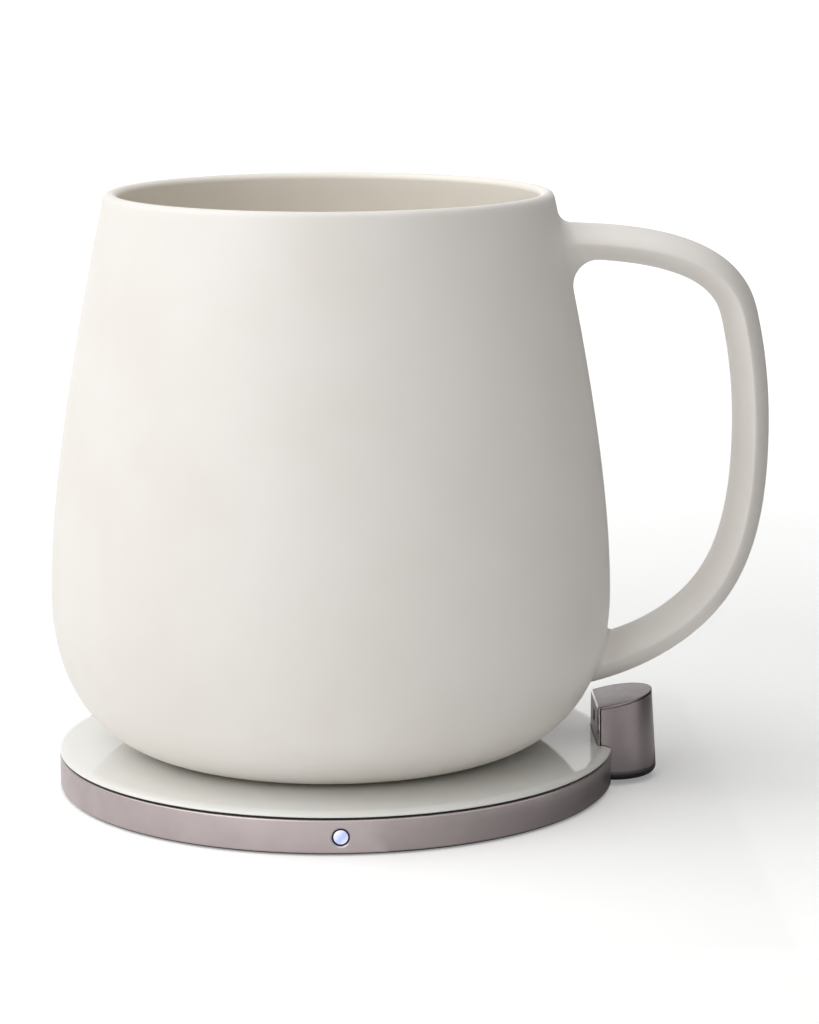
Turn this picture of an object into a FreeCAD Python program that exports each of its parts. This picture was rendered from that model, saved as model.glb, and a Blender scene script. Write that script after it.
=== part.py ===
import FreeCAD, Part
import math
import os

from FreeCAD import Vector

# An electric mug warmer: a thin round warming pad with an indicator lamp at its front, a small
# D-shaped sensor block at its edge, and the stoneware mug that stands on the pad.
# Sizes are millimetres. Z is up, and the origin is on the pad's axis, on the surface it stands on.
# The lamp faces -Y. The sensor block and the mug's handle point along +X.

# Heights of the pad's layers.
flange_low = 0.2
ring_low = 0.8
floor_top = 1.6
board_low = 1.9
board_top = 2.6
ledge_low = 4.3
ledge_top = 5.1
plate_low = 5.3
ring_top = 6.1
lip_low = 6.45
plate_top = 7.3

# Radii of the pad's parts.
ring_radius = 49.0
ring_inner = 47.0
ring_chamfer = 0.3
ledge_inner = 44.6
flange_radius = 48.5
mat_radius = 45.0
cover_radius = 46.8
cover_lip = 1.0
neck_radius = 46.85
gasket_radius = 48.4
gap = 0.1

# Edge of the top plate: a short upright band, then a flat quarter round.
plate_band = 0.25
plate_round_width = 2.0
plate_round_height = 0.6

# Pole distance, as a share of the radius, that makes a Bezier edge a quarter round.
arc_bend = 0.5523

# Lugs inside the ring that take the cover screws.
lug_radius = 2.6
lug_circle = 43.0
lug_angles = (45, 135, 225, 315)
lug_roof = 0.8
cover_screw_radius = 0.8
cover_screw_head = 1.7
screw_head_height = 0.5

# Coil stack under the plate, from the tray upward.
tray_radius = 25.0
tray_floor = 0.6
tray_wall = 1.0
post_radius = 3.6
post_bore = 2.4
ferrite_radius = 23.8
ferrite_thickness = 0.8
ferrite_low = floor_top + tray_floor
coil_start = 6.0
coil_turns = 8
coil_pitch = 1.95
strand_width = 1.55
coil_thickness = 1.3
coil_low = ferrite_low + ferrite_thickness
coil_top = coil_low + coil_thickness
lead_width = 1.6
lead_thickness = 0.3
bead_radius = 1.1
bead_stem = 0.5

# Main circuit board: a C round the coil, with a tongue that carries the lamp.
board_outer = 43.4
board_inner = 26.5
board_start = -150
board_sweep = 212
board_clearance = 0.4
standoff_circle = 31.0
standoff_angles = (-135, -45, 45)
standoff_radius = 2.0
standoff_hole = 0.5
board_screw_radius = 0.7
board_screw_head = 1.4
board_screw_head_height = 0.8
tongue_end = 45.6
tongue_width = 5.0

# Components on the main board.
chip_height = 0.9
capacitor_height = 1.8
small_capacitor_height = 1.2
inductor_size = 5.0
inductor_height = 2.0
socket_length = 3.0
socket_width = 7.2
socket_height = 1.2
connector_x = 38.5

# Indicator lamp in the ring's front.
lamp_height = 3.2
lamp_width = 2.8
lamp_length = 1.4
lens_radius = 1.05
lens_dome = 3.0
lens_recess = 0.15
bezel_radius = 1.3
bezel_flange = 1.8
bezel_flange_thickness = 0.4

# Sensor block: a tapered round post cut by a flat that faces the mug, with a sloped top.
block_x = 49.0
block_flat = 46.2
block_low = 0.8
block_split = 2.4
block_radius = 8.17
block_taper = 0.0625
block_top = 13.9
block_slope = 11.5
block_wall = 1.2
block_round = 0.6
cap_round = 1.3

# Window in the block's flat, and the sensor and board behind it.
window_width = 3.4
window_height = 2.2
window_low = 9.8
window_recess = 0.25
sensor_size = 3.0
sensor_board_x = 48.6
sensor_board_thickness = 0.6
sensor_board_width = 10.4
sensor_board_low = 3.4
sensor_board_top = 12.4

# Power inlet in the back of the block, with its long side upright.
inlet_width = 3.26
inlet_height = 8.94
inlet_depth = 7.3
inlet_mouth = 6.7
inlet_shell = 0.3
inlet_x = sensor_board_x + sensor_board_thickness + inlet_width / 2
inlet_z = (sensor_board_low + sensor_board_top) / 2
tongue_thickness = 0.7
tongue_height = 6.6
tongue_setback = 0.8
tongue_base = 1.4

# Screws that hold the block's cap, and the tab that ties the cap to the cover's floor.
boss_places = ((54.0, 3.3), (51.2, -5.4))
boss_radius = 1.4
boss_top = 8.0
block_screw_radius = 0.6
block_screw_head = 1.2
block_screw_head_height = 0.6
tab_start = 40.0
tab_width = 8.0
tab_screw_x = 42.3
tab_screw_places = (-tab_width / 4, tab_width / 4)
tab_top = floor_top + 0.6

# Flat cable from the sensor block to the main board.
cable_width = 5.0
cable_thickness = 0.25
cable_low = board_top + gap
cable_top = 6.0

# Mug. Its axis stands a little to the left of the pad's, as it was put down.
mug_x = -0.7
mug_low = plate_top + 0.05
mug_foot = 29.0
mug_belly = 49.16
mug_belly_height = 34.1
mug_rim = 39.05
mug_height = 104.7
mug_lip = 1.25
mug_lean = 0.22
mug_neck = 30.3
mug_shoulder = 16.5
mug_haunch = 10.1
mug_haunch_share = 0.665
mug_wall = 3.3
mug_floor = mug_low + 6.6
mug_floor_flat = 25.0
mug_crest = mug_rim - mug_lip
mug_lip_low = mug_height - mug_lip
mug_recess_radius = 24.0
mug_recess_top = mug_low + 1.7
heater_radius = 22.5
heater_thickness = 0.3
base_disc_inset = 0.2

# Mug handle: thickness is in the plane of the handle, breadth is across it. The path's points are
# from the mug's axis, and its ends lie inside the mug's wall.
handle_path_points = ((38.9, 95.9), (43.0, 95.8), (70.9, 84.9), (71.8, 81.7), (73.75, 59.0),
                      (67.1, 34.0), (44.8, 21.1), (37.9, 20.2))
handle_thickness = 6.35
handle_growth = 2.6
handle_growth_power = 6
handle_breadth = 13.0
handle_ridge = 0.86
handle_shoulder = 0.4
handle_stations = 15
handle_upper_blend = 3.4
handle_lower_blend = 1.2

# Longer than any part, for cuts that go all the way through.
beyond = 120.0


def save(node, solids):
    """Write one node from a solid or a list of separate solids."""
    shape = Part.makeCompound(solids) if isinstance(solids, list) else solids
    if not shape.isValid():
        raise ValueError(node + " is not a valid shape")
    shape.exportStep("parts/" + node + ".step")


def disc(radius, low, high, x=0.0, y=0.0):
    return Part.makeCylinder(radius, high - low, Vector(x, y, low))


def tube(inner, outer, low, high):
    return disc(outer, low, high).cut(disc(inner, low - 1, high + 1))


def hole(radius, x=0.0, y=0.0, low=-beyond, high=beyond):
    """A round upright cutter, through everything unless its ends are given."""
    return disc(radius, low, high, x, y)


def box(x_range, y_range, z_range=(-beyond, beyond)):
    """A cuboid between two values on each axis."""
    size = [high - low for low, high in (x_range, y_range, z_range)]
    return Part.makeBox(*size, Vector(x_range[0], y_range[0], z_range[0]))


def middle(width):
    """The range of a width that is centred on an axis."""
    return (-width / 2, width / 2)


def polar(radius, degrees):
    angle = math.radians(degrees)
    return radius * math.cos(angle), radius * math.sin(angle)


def lines(points):
    """Straight edges through (radius, height) points."""
    corners = [Vector(r, 0, z) for r, z in points]
    return [Part.LineSegment(a, b).toShape() for a, b in zip(corners, corners[1:])]


def curve(*points):
    """One Bezier edge from (radius, height) poles."""
    bezier = Part.BezierCurve()
    bezier.setPoles([Vector(r, 0, z) for r, z in points])
    return bezier.toShape()


def turned(edges):
    """Revolve a closed outline about the Z axis."""
    face = Part.Face(Part.Wire(edges))
    return face.revolve(Vector(0, 0, 0), Vector(0, 0, 1), 360)


def only_solid(shape):
    return max(shape.Solids, key=lambda solid: solid.Volume)


def slot_prism(width, height, y_from, y_to):
    """The inlet's upright slot form with round ends, pushed along Y."""
    radius = width / 2
    half = height / 2 - radius
    length = y_to - y_from
    prism = box((inlet_x - radius, inlet_x + radius), (y_from, y_to), (inlet_z - half, inlet_z + half))
    for z in (inlet_z - half, inlet_z + half):
        prism = prism.fuse(Part.makeCylinder(radius, length, Vector(inlet_x, y_from, z), Vector(0, 1, 0)))
    return prism.removeSplitter()


def block_form(inset, low):
    """The sensor block's form from a height up to its sloped top, drawn in evenly by an inset."""
    flat = block_flat + inset
    flat_high = block_top - inset
    height = block_top + block_wall * 5 - low
    radius_low = block_radius - inset - block_taper * (low - block_low)
    post = Part.makeCone(radius_low, radius_low - block_taper * height, height, Vector(block_x, 0, low))
    post = post.cut(box((-beyond, flat), (-beyond, beyond)))
    above = box((-beyond, beyond), (-beyond, beyond), (flat_high, beyond))
    above.rotate(Vector(flat, 0, flat_high), Vector(0, 1, 0), -block_slope)
    return only_solid(post.cut(above))


def block_room():
    """The room that the pad's parts leave for the sensor block."""
    return hole(block_radius + gap, block_x).cut(box((-beyond, block_flat - gap), (-beyond, beyond)))


def lamp_cylinder(radius, front, back):
    """A cylinder along the lamp's axis, between two distances in front of the pad's axis."""
    return Part.makeCylinder(radius, front - back, Vector(0, -front, lamp_height), Vector(0, 1, 0))


def top_plate():
    """The plate: a disc that drops into the ring, with a lip over the ring and a rounded edge."""
    band_top = lip_low + plate_band
    flat_radius = ring_radius - plate_round_width
    outline = lines([(0, plate_top), (0, plate_low), (neck_radius, plate_low), (neck_radius, lip_low),
                     (ring_radius, lip_low), (ring_radius, band_top)])
    outline.append(curve((ring_radius, band_top),
                         (ring_radius, band_top + arc_bend * plate_round_height),
                         (flat_radius + arc_bend * plate_round_width, plate_top),
                         (flat_radius, plate_top)))
    outline += lines([(flat_radius, plate_top), (0, plate_top)])
    return turned(outline).cut(block_room())


def plate_adhesive():
    return tube(ledge_inner + gap, neck_radius, ledge_top, plate_low).cut(block_room())


def plate_gasket():
    return tube(neck_radius, gasket_radius, ring_top, lip_low).cut(block_room())


def side_ring():
    """The metal ring, with a ledge that carries the plate and four lugs for the cover screws."""
    chamfered = ring_radius - ring_chamfer
    outline = lines([(ring_inner, ring_low), (chamfered, ring_low), (ring_radius, ring_low + ring_chamfer),
                     (ring_radius, ring_top - ring_chamfer), (chamfered, ring_top), (ring_inner, ring_top),
                     (ring_inner, ledge_top), (ledge_inner, ledge_top), (ledge_inner, ledge_low),
                     (ring_inner, ledge_low), (ring_inner, ring_low)])
    ring = turned(outline)
    for angle in lug_angles:
        x, y = polar(lug_circle, angle)
        ring = ring.fuse(disc(lug_radius, floor_top, ledge_top, x, y))
    for angle in lug_angles:
        x, y = polar(lug_circle, angle)
        ring = ring.cut(hole(cover_screw_radius, x, y, high=ledge_top - lug_roof))
    ring = ring.cut(lamp_cylinder(bezel_radius, ring_radius + 1, ledge_inner))
    return ring.cut(block_room()).removeSplitter()


def base_cover():
    """The moulded underside: flange under the ring, floor, locating lip and board stand-offs."""
    mat_room = mat_radius + gap
    outline = lines([(0, ring_low), (mat_room, ring_low), (mat_room, flange_low),
                     (flange_radius, flange_low), (flange_radius, ring_low), (cover_radius, ring_low),
                     (cover_radius, board_top), (cover_radius - cover_lip, board_top),
                     (cover_radius - cover_lip, floor_top), (0, floor_top), (0, ring_low)])
    cover = turned(outline)
    for angle in standoff_angles:
        x, y = polar(standoff_circle, angle)
        cover = cover.fuse(disc(standoff_radius, floor_top, board_low, x, y))
        cover = cover.cut(hole(board_screw_radius, x, y, low=floor_top - standoff_hole))
    for angle in lug_angles:
        x, y = polar(lug_circle, angle)
        cover = cover.cut(hole(cover_screw_radius, x, y))
        cover = cover.cut(hole(cover_screw_head, x, y, high=ring_low + screw_head_height))
    for y in tab_screw_places:
        cover = cover.cut(hole(board_screw_radius, tab_screw_x, y))
        cover = cover.cut(hole(board_screw_head, tab_screw_x, y, high=ring_low + screw_head_height))
    lamp_notch = box(middle(tongue_width + 1), (-beyond, -tongue_end + cover_lip), (floor_top, beyond))
    tab_notch = box((tab_start, beyond), middle(tab_width + 2 * gap), (floor_top, beyond))
    return cover.cut(lamp_notch).cut(tab_notch).cut(block_room()).removeSplitter()


def foot_mat():
    return disc(mat_radius, 0, ring_low)


def cover_screws():
    """Four flat-headed screws that hold the cover to the ring's lugs."""
    screws = []
    for angle in lug_angles:
        x, y = polar(lug_circle, angle)
        head = disc(cover_screw_head, ring_low, ring_low + screw_head_height, x, y)
        screws.append(head.fuse(disc(cover_screw_radius, ring_low, ledge_low, x, y)))
    return screws


def coil_tray():
    """A shallow tray with a hollow post in its middle, notched on one side for the coil's leads."""
    tray = disc(tray_radius, floor_top, coil_top).cut(hole(tray_radius - tray_wall, low=ferrite_low))
    tray = tray.fuse(disc(post_radius, floor_top, coil_top)).cut(hole(post_bore, low=ferrite_low))
    return tray.cut(box((0, beyond), middle(2 * lead_width), (ferrite_low, beyond)))


def ferrite_disc():
    """The magnetic shield, with a slot for the coil's inner lead."""
    shield = tube(post_radius + gap, ferrite_radius, ferrite_low, coil_low)
    return shield.cut(box((0, beyond), middle(2 * lead_width)))


def spiral(first_radius):
    """Half circles about two centres in turn, each half a pitch wider than the one before."""
    halves = []
    for half in range(2 * coil_turns):
        above = half % 2 == 0
        centre = Vector(-coil_pitch / 4 if above else coil_pitch / 4, 0, coil_low)
        circle = Part.Circle(centre, Vector(0, 0, 1), first_radius + half * coil_pitch / 2)
        start = 0 if above else math.pi
        halves.append(Part.ArcOfCircle(circle, start, start + math.pi).toShape())
    return halves


def induction_coil():
    """A flat spiral strand with two leads: one passes below the turns, one leaves the last turn."""
    inside = spiral(coil_start)
    outside = spiral(coil_start + strand_width)
    first = Part.LineSegment(inside[0].firstVertex().Point, outside[0].firstVertex().Point).toShape()
    last = Part.LineSegment(inside[-1].lastVertex().Point, outside[-1].lastVertex().Point).toShape()
    outline = Part.Wire(Part.__sortEdges__(inside + [last] + outside + [first]))
    strand = Part.Face(outline).extrude(Vector(0, 0, coil_thickness))
    start = first.CenterOfMass.x
    end = last.CenterOfMass.x
    lead_end = board_inner + lead_width
    lead_top = board_top + lead_thickness
    beside = (gap, lead_width / 2)
    drop = box((start - lead_width / 3, start + lead_width / 3), beside, (board_top, coil_low + coil_thickness / 2))
    inner_lead = box((start, lead_end), beside, (board_top, lead_top))
    outer_lead = box((end, lead_end), (-lead_width / 2, -gap), (coil_low + gap, coil_top - gap))
    return strand.fuse(drop).fuse(inner_lead).fuse(outer_lead)


def insulation_pad():
    return tube(post_radius, tray_radius, coil_top, plate_low)


def thermistor():
    """The temperature sensor: a bead on its stem, pressed against the plate from the tray's post."""
    bead_centre = plate_low - bead_radius
    bead = Part.makeSphere(bead_radius, Vector(0, 0, bead_centre))
    stem = disc(bead_stem, ferrite_low, bead_centre)
    cap = disc(post_bore, ferrite_low, ferrite_low + tray_floor)
    return bead.fuse(stem).fuse(cap)


def board_sector():
    """The main board's C: part of a ring, turned to where it starts."""
    height = board_top - board_low
    sector = Part.makeCylinder(board_outer, height, Vector(0, 0, board_low), Vector(0, 0, 1), board_sweep)
    sector = sector.cut(hole(board_inner))
    sector.rotate(Vector(0, 0, 0), Vector(0, 0, 1), board_start)
    return sector


def main_board():
    tongue = box(middle(tongue_width), (-tongue_end, -board_outer + 2), (board_low, board_top))
    board = board_sector().fuse(tongue)
    for angle in lug_angles:
        x, y = polar(lug_circle, angle)
        board = board.cut(hole(lug_radius + board_clearance, x, y))
    for angle in standoff_angles:
        x, y = polar(standoff_circle, angle)
        board = board.cut(hole(board_screw_radius, x, y))
    tab_notch = box((tab_start - board_clearance, beyond), middle(tab_width + 2 * board_clearance))
    return only_solid(board.cut(tab_notch).removeSplitter())


def board_screws():
    screws = []
    for angle in standoff_angles:
        x, y = polar(standoff_circle, angle)
        shank = disc(board_screw_radius, floor_top - standoff_hole, board_top, x, y)
        head = disc(board_screw_head, board_top, board_top + board_screw_head_height, x, y)
        screws.append(shank.fuse(head))
    return screws


def on_board(radius, degrees, length, width, height):
    """A component body that stands on the main board, square to the pad's radius."""
    body = box((radius - length / 2, radius + length / 2), middle(width), (board_top, board_top + height))
    body.rotate(Vector(0, 0, 0), Vector(0, 0, 1), degrees)
    return body


def board_chips():
    """Controller and driver packages: distance and angle on the board, then length and width."""
    places = ((35, -105, 5, 5), (35, -75, 4, 4), (37, -20, 4, 5), (33, 25, 4, 4))
    return [on_board(radius, angle, length, width, chip_height) for radius, angle, length, width in places]


def board_capacitors():
    """A row of tuning capacitors along the board's left arm and four beside the power stage."""
    row = [on_board(34.5, angle, 3.2, 2.5, capacitor_height) for angle in (-142, -128, -121, -114)]
    small = [on_board(40.5, -66 + 5 * step, 2.0, 1.2, small_capacitor_height) for step in range(4)]
    return row + small


def board_inductors():
    return [on_board(32, angle, inductor_size, inductor_size, inductor_height) for angle in (-28, 14)]


def cable_socket():
    return box((connector_x - socket_length, connector_x), middle(socket_width),
               (board_top, board_top + socket_height))


def lamp():
    """The side-facing light-emitting diode at the end of the board's tongue."""
    return box(middle(lamp_width), (-tongue_end, -tongue_end + lamp_length),
               (board_top, 2 * lamp_height - board_top))


def lamp_bezel():
    """A sleeve in the ring's front with a flange behind the ring, cut where the pad is too low."""
    back = ring_inner - gap - bezel_flange_thickness
    sleeve = lamp_cylinder(bezel_radius, ring_radius, back)
    flange = lamp_cylinder(bezel_flange, back + bezel_flange_thickness, back)
    flange = flange.common(box((-beyond, beyond), (-beyond, beyond), (floor_top, ledge_low)))
    return sleeve.fuse(flange).cut(lamp_cylinder(lens_radius, beyond, 0))


def lamp_lens():
    """A light pipe with a slightly domed front."""
    front = ring_radius - lens_recess
    dome = Part.makeSphere(lens_dome, Vector(0, lens_dome - front, lamp_height))
    return lamp_cylinder(lens_radius, ring_radius, tongue_end + 2 * gap).common(
        dome.fuse(lamp_cylinder(lens_radius, front - lens_recess * 2, tongue_end))).removeSplitter()


def block_housing():
    """The sensor block's shell: window opening in the flat, inlet opening behind, screw bosses."""
    outer = block_form(0, block_split)
    rounded = [e for e in outer.Edges if min(v.Z for v in e.Vertexes) > block_split + 1 or
               max(v.Z for v in e.Vertexes) - min(v.Z for v in e.Vertexes) > block_top / 2]
    outer = outer.makeFillet(block_round, rounded)
    shell = outer.cut(block_form(block_wall, block_split - 1))
    for x, y in boss_places:
        boss = disc(boss_radius, block_split + 1, boss_top, x, y).common(outer)
        shell = shell.fuse(boss).cut(hole(block_screw_radius, x, y, high=boss_top - 1))
    front = (block_flat - 1, block_flat + block_wall + gap)
    window = box(front, middle(window_width), (window_low, window_low + window_height))
    cable_way = box(front, middle(cable_width + 1), (block_split - 1, block_split + block_wall))
    inlet = slot_prism(inlet_width + gap, inlet_height + gap, inlet_mouth / 2, 2 * inlet_mouth)
    return only_solid(shell.cut(window).cut(cable_way).cut(inlet).removeSplitter())


def block_cap():
    """The block's bottom cap, with a plug into the shell and a tab under the pad's board."""
    below_split = box((-beyond, beyond), (-beyond, beyond), (-beyond, block_split))
    cap = block_form(0, block_low).common(below_split)
    rim = [e for e in cap.Edges if max(v.Z for v in e.Vertexes) < block_low + gap and
           e.BoundBox.XMax > block_x]
    cap = cap.makeFillet(cap_round, rim)
    plug_room = box((sensor_board_x, beyond), (-beyond, beyond), (block_split, sensor_board_low))
    plug = block_form(block_wall + gap, block_split).common(plug_room)
    tab = box((tab_start + gap, block_flat + 1), middle(tab_width), (floor_top, tab_top))
    cap = cap.fuse(plug).fuse(tab)
    for x, y in boss_places:
        cap = cap.cut(hole(block_screw_radius, x, y))
        cap = cap.cut(hole(block_screw_head, x, y, high=block_low + gap + block_screw_head_height))
    for y in tab_screw_places:
        cap = cap.cut(hole(board_screw_radius, tab_screw_x, y))
    return only_solid(cap.removeSplitter())


def block_screws():
    """Two screws up into the shell's bosses and two that hold the tab to the cover's floor."""
    screws = []
    low = block_low + gap
    for x, y in boss_places:
        head = disc(block_screw_head, low, low + block_screw_head_height, x, y)
        screws.append(head.fuse(disc(block_screw_radius, low, boss_top - 1, x, y)))
    for y in tab_screw_places:
        head = disc(board_screw_head, ring_low, ring_low + screw_head_height, tab_screw_x, y)
        screws.append(head.fuse(disc(board_screw_radius, ring_low, tab_top, tab_screw_x, y)))
    return screws


def sensor_window():
    """The smoked pane that closes the opening in the flat."""
    return box((block_flat + window_recess, block_flat + block_wall), middle(window_width),
               (window_low, window_low + window_height))


def mug_sensor():
    """The infrared sensor behind the window."""
    centre = window_low + window_height / 2
    return box((block_flat + block_wall + gap, sensor_board_x), middle(sensor_size),
               (centre - sensor_size / 3, centre + sensor_size / 3))


def sensor_board():
    board = box((sensor_board_x, sensor_board_x + sensor_board_thickness), middle(sensor_board_width),
                (sensor_board_low, sensor_board_top))
    return board.common(block_form(block_wall + gap, block_split))


def inlet_socket():
    """The power socket's metal shell, closed at the back."""
    back = inlet_mouth - inlet_depth
    shell = slot_prism(inlet_width, inlet_height, back, inlet_mouth)
    hollow = slot_prism(inlet_width - 2 * inlet_shell, inlet_height - 2 * inlet_shell,
                        back + inlet_shell, 2 * inlet_mouth)
    return shell.cut(hollow)


def inlet_tongue():
    """The contact tongue on its base inside the socket."""
    back = inlet_mouth - inlet_depth + inlet_shell
    base = slot_prism(inlet_width - 2 * inlet_shell, inlet_height - 2 * inlet_shell,
                      back, back + tongue_base)
    half = tongue_thickness / 2
    tongue = box((inlet_x - half, inlet_x + half), (back, inlet_mouth - tongue_setback),
                 (inlet_z - tongue_height / 2, inlet_z + tongue_height / 2))
    return base.fuse(tongue).removeSplitter()


def link_cable():
    """The flat cable: out of its socket, under the ring, then up the sensor board."""
    flat = box((connector_x, sensor_board_x), middle(cable_width), (cable_low, cable_low + cable_thickness))
    upright = box((sensor_board_x - cable_thickness, sensor_board_x), middle(cable_width),
                  (cable_low, cable_top))
    bent = flat.fuse(upright).removeSplitter()
    heel = [e for e in bent.Edges if e.BoundBox.XMin > sensor_board_x - cable_thickness / 2 and
            e.BoundBox.ZMax < cable_low + cable_thickness / 2]
    return bent.makeFillet(cable_thickness * 2 / 3, heel)


def mug_outside():
    """Half outline of the mug's outside, from the foot's edge to the crest of the lip."""
    rise = mug_belly_height - mug_low
    bend = arc_bend * mug_lip
    return [
        curve((mug_foot, mug_low), (mug_foot + mug_haunch, mug_low),
              (mug_belly, mug_belly_height - mug_haunch_share * rise), (mug_belly, mug_belly_height)),
        curve((mug_belly, mug_belly_height), (mug_belly, mug_belly_height + mug_shoulder),
              (mug_rim + mug_lean * mug_neck, mug_lip_low - mug_neck), (mug_rim, mug_lip_low)),
        curve((mug_rim, mug_lip_low), (mug_rim - mug_lean * bend, mug_lip_low + bend),
              (mug_crest + bend, mug_height), (mug_crest, mug_height)),
    ]


def mug_inside():
    """Half outline of the mug's inside, from the crest of the lip to the flat of the floor."""
    lip = mug_crest - mug_lip
    bend = arc_bend * mug_lip
    belly = mug_belly - mug_wall
    return [
        curve((mug_crest, mug_height), (mug_crest - bend, mug_height),
              (lip - mug_lean * bend, mug_lip_low + bend), (lip, mug_lip_low)),
        curve((lip, mug_lip_low), (lip + mug_lean * mug_neck, mug_lip_low - mug_neck),
              (belly, mug_belly_height + mug_shoulder), (belly, mug_belly_height)),
        curve((belly, mug_belly_height), (belly, mug_floor + mug_lip * 4),
              (mug_floor_flat + mug_haunch, mug_floor), (mug_floor_flat, mug_floor)),
    ]


def handle_section(centre, normal, thickness):
    """A lens-shaped section: two bowed faces that meet in rounded ridges."""
    across = Vector(0, handle_breadth / 2, 0)
    out = normal * (thickness / 2)
    ring = Part.BSplineCurve()
    ring.interpolate([centre + across,
                      centre + across * handle_ridge + out * handle_shoulder, centre + out,
                      centre - across * handle_ridge + out * handle_shoulder, centre - across,
                      centre - across * handle_ridge - out * handle_shoulder, centre - out,
                      centre + across * handle_ridge - out * handle_shoulder], PeriodicFlag=True)
    return Part.Wire(ring.toShape())


def mug_handle():
    """Lens sections lofted along the centre line, thicker towards the lower root."""
    path = Part.BSplineCurve()
    path.interpolate([Vector(x, 0, z) for x, z in handle_path_points])
    first, last = path.FirstParameter, path.LastParameter
    sections = []
    for station in range(handle_stations):
        share = station / (handle_stations - 1)
        at = first + (last - first) * share
        tangent = path.tangent(at)[0]
        normal = Vector(tangent.z, 0, -tangent.x)
        thickness = handle_thickness + handle_growth * share ** handle_growth_power
        sections.append(handle_section(path.value(at), normal, thickness))
    return only_solid(Part.makeLoft(sections, True, False))


def turned_for_mug(edges):
    """A turned form whose seam is on the side away from the handle."""
    form = turned(edges)
    form.rotate(Vector(0, 0, 0), Vector(0, 0, 1), 180)
    return form


def handle_root(whole, low, high):
    """The closed edge between two heights where the handle meets the mug's outside."""
    return [e for e in whole.Edges if e.BoundBox.XMin > mug_foot and
            handle_breadth / 2 < e.BoundBox.YLength < 2 * handle_breadth and
            low < e.BoundBox.ZMin and e.BoundBox.ZMax < high]


def mug():
    """The mug in one piece: turned form and handle, blended where they meet, then hollowed."""
    form = turned_for_mug(mug_outside() + lines([(mug_crest, mug_height), (0, mug_height), (0, mug_low),
                                                 (mug_foot, mug_low)]))
    whole = only_solid(form.fuse(mug_handle()))
    whole = whole.makeFillet(handle_lower_blend, handle_root(whole, mug_low, mug_belly_height))
    whole = whole.makeFillet(handle_upper_blend, handle_root(whole, mug_belly_height, mug_height))
    hollow = turned_for_mug(mug_inside() + lines([(mug_floor_flat, mug_floor), (0, mug_floor),
                                                  (0, mug_height), (mug_crest, mug_height)]))
    whole = whole.cut(hollow).cut(hole(mug_recess_radius, high=mug_recess_top))
    whole.translate(Vector(mug_x, 0, 0))
    return only_solid(whole)


def mug_heater():
    """The steel foil bonded under the mug's floor, which the coil heats."""
    return disc(heater_radius, mug_recess_top - heater_thickness, mug_recess_top, mug_x)


def mug_base_disc():
    """The disc that closes the recess under the mug."""
    return disc(mug_recess_radius - gap, mug_low + base_disc_inset, mug_recess_top - heater_thickness, mug_x)


os.makedirs("parts", exist_ok=True)
for build in (top_plate, plate_adhesive, plate_gasket, side_ring, base_cover, foot_mat, cover_screws,
              coil_tray, ferrite_disc, induction_coil, insulation_pad, thermistor, main_board,
              board_screws, board_chips, board_capacitors, board_inductors, cable_socket, lamp,
              lamp_bezel, lamp_lens, block_housing, block_cap, block_screws, sensor_window,
              mug_sensor, sensor_board, inlet_socket, inlet_tongue, link_cable, mug, mug_heater,
              mug_base_disc):
    save(build.__name__, build())
    print("built", build.__name__)
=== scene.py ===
import math

import bmesh
import bpy
import numpy as np
from mathutils import Matrix, Vector


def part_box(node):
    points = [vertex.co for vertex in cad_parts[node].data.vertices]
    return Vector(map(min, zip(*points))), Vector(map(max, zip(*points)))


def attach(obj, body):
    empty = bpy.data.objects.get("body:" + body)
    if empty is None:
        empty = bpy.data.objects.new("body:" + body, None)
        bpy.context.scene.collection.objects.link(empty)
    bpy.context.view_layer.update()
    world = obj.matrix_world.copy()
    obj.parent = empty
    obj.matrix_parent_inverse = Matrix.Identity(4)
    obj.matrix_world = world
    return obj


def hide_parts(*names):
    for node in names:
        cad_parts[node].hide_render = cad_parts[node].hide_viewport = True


# Looks of an electric mug warmer: the warming pad, the sensor block at its edge and the mug on it.
# Properties hold metres. The builders work in millimetres, and make_mesh turns them into metres.

bl_info = {
    "name": "Mug Warmer",
    "version": (1, 0, 0),
    "blender": (4, 5, 0),
    "location": "3D View > Sidebar > Mug Warmer",
    "description": "Builds the visible pieces of an electric mug warmer round its packed model",
    "category": "Add Mesh",
}

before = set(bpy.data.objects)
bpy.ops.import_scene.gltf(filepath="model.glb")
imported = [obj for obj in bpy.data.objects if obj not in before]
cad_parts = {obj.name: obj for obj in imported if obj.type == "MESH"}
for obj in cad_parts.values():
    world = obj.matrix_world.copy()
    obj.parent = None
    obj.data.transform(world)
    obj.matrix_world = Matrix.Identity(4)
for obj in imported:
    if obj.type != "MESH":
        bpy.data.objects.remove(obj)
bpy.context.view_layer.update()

MM = 0.001
PAD = "warmer"
CUP = "mug"

mug_low, mug_high = (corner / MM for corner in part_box("mug"))
plate_low, plate_high = (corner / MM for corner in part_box("top_plate"))
ring_low, ring_high = (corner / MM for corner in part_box("side_ring"))
housing_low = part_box("block_housing")[0] / MM
cap_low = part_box("block_cap")[0] / MM
window_low, window_high = (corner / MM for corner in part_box("sensor_window"))
bezel_low, bezel_high = (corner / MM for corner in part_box("lamp_bezel"))
inlet_low, inlet_high = (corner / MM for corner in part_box("inlet_socket"))
gasket_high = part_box("plate_gasket")[1] / MM
cover_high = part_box("base_cover")[1] / MM

BELLY_MM = (mug_high.y - mug_low.y) / 2
MUG_X_MM = mug_low.x + BELLY_MM
PLATE_MM = (plate_high.y - plate_low.y) / 2
LAMP_Z_MM = (bezel_low.z + bezel_high.z) / 2 + 0.08
LENS_MM = 1.2


def length(name, description, millimetres):
    """A length property from a default in millimetres."""
    return bpy.props.FloatProperty(name=name, description=description, default=millimetres * MM,
                                   unit="LENGTH", subtype="DISTANCE", precision=5)


def paint(name, description, code):
    """A colour property, as an sRGB hex code."""
    return bpy.props.StringProperty(name=name, description=description, default=code)


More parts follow.
